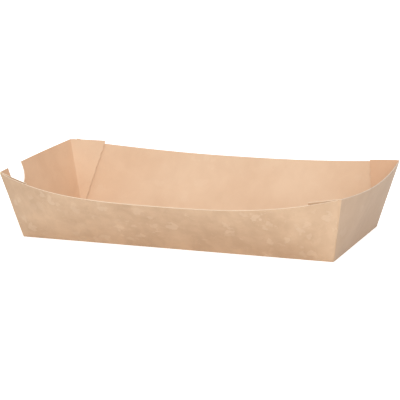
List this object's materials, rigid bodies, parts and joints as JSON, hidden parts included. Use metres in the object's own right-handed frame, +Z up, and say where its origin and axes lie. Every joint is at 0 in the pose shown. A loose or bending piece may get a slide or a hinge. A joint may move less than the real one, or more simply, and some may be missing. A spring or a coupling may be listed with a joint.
{
  "type": "folded card food tray",
  "caption": "Long open takeaway tray folded and glued from one sheet of brown kraft card, with bowed long walls and a thumb notch in one end wall.",
  "frame": {"origin": "middle of the flat base's underside", "axes": "+X along the long side, away from the end wall with the thumb notch; +Z up out of the open top"},
  "size_m": [0.2325, 0.1347, 0.0415],
  "materials": {
    "kraft_card": "uncoated matte kraft card"
  },
  "bodies": {
    "root": {"folded_card_tray": "kraft_card"}
  },
  "joints": []
}
